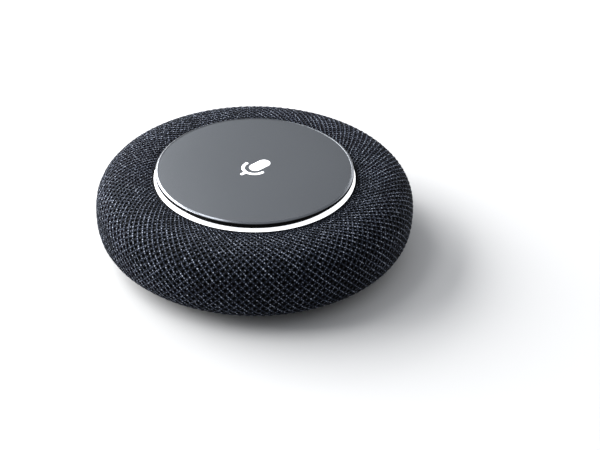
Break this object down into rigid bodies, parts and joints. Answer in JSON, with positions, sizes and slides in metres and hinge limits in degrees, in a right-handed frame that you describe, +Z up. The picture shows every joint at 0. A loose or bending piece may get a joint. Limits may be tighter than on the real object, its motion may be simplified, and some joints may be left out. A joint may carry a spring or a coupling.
{
  "type": "smart speaker",
  "caption": "Low round puck-shaped smart speaker with a knitted fabric side, a pressable grey top disc with a lit microphone icon, a light ring and a rear charging port.",
  "frame": {"origin": "centre of the underside of the foot ring, on the surface the speaker stands on", "axes": "+Z up out of the top disc; +Y towards the charging port at the rear; the icon on the disc reads upright seen from -Y"},
  "size_m": [0.1, 0.1, 0.027],
  "materials": {
    "charcoal_knit": "knitted polyester, charcoal with blue-grey flecks",
    "spider_cloth": "resin-stiffened woven cloth",
    "black_polymer": "moulded, fine texture",
    "base_polymer": "moulded, fine spark texture",
    "grey_satin_disc": "bead-blasted and anodised dark grey, bright chamfer",
    "milky_diffuser": "opal, lit from behind",
    "carrier_polymer": "moulded black ABS",
    "black_silicone": "soft matt",
    "surround_rubber": "moulded half roll",
    "plated_steel": "zinc or nickel plated",
    "plated_magnet": "nickel-plated neodymium",
    "aluminium_can": "drawn can",
    "enamelled_copper": "enamelled copper winding",
    "pressed_paper": "pressed paper pulp",
    "board_laminate": "glass-epoxy laminate with solder mask",
    "moulded_epoxy": "moulded epoxy",
    "ferrite": "sintered ferrite",
    "white_polymer": "moulded white"
  },
  "bodies": {
    "case": {"fabric_cover": "charcoal_knit", "grille_shell": "black_polymer", "lower_housing": "black_polymer", "top_chassis": "black_polymer", "sound_deflector": "black_polymer", "light_baffle": "black_polymer", "surround_clamp": "black_polymer", "port_bezel": "black_polymer", "base_cover": "base_polymer", "light_ring": "milky_diffuser", "foot_ring": "black_silicone", "driver_yoke": "plated_steel", "pole_plate": "plated_steel", "driver_basket": "plated_steel", "processor_shield": "plated_steel", "radio_module": "plated_steel", "base_screw_1": "plated_steel", "base_screw_2": "plated_steel", "base_screw_3": "plated_steel", "base_screw_4": "plated_steel", "driver_screw_1": "plated_steel", "driver_screw_2": "plated_steel", "driver_screw_3": "plated_steel", "driver_screw_4": "plated_steel", "microphone_1": "plated_steel", "microphone_2": "plated_steel", "microphone_3": "plated_steel", "usb_receptacle": "plated_steel", "driver_magnet": "plated_magnet", "capacitor": "aluminium_can", "main_board": "board_laminate", "light_board": "board_laminate", "port_board": "board_laminate", "amplifier_chip": "moulded_epoxy", "memory_chip": "moulded_epoxy", "usb_tongue": "moulded_epoxy", "switch_body_1": "moulded_epoxy", "switch_body_2": "moulded_epoxy", "switch_body_3": "moulded_epoxy", "power_inductor": "ferrite", "driver_connector": "white_polymer", "icon_led": "white_polymer", "led_1": "white_polymer", "led_2": "white_polymer", "led_3": "white_polymer", "led_4": "white_polymer", "led_5": "white_polymer", "led_6": "white_polymer"},
    "disc": {"touch_disc": "grey_satin_disc", "disc_carrier": "carrier_polymer", "icon_capsule": "milky_diffuser", "icon_cradle": "milky_diffuser", "switch_plunger_1": "white_polymer", "switch_plunger_2": "white_polymer", "switch_plunger_3": "white_polymer"},
    "cone": {"driver_cone": "pressed_paper", "dust_cap": "pressed_paper", "voice_coil": "enamelled_copper", "cone_surround": "surround_rubber", "cone_spider": "spider_cloth"}
  },
  "joints": [
    {"name": "disc_press", "type": "slide", "parent": "case", "child": "disc", "axis": [0, 0, -1], "range_m": [0, 0.0006], "stiffness_N_per_m": 1000, "springref_m": -0.0008},
    {"name": "cone_stroke", "type": "slide", "parent": "case", "child": "cone", "axis": [0, 0, 1], "range_m": [-0.0012, 0.0012], "stiffness_N_per_m": 1500, "deforming": ["cone_surround", "cone_spider"]}
  ]
}
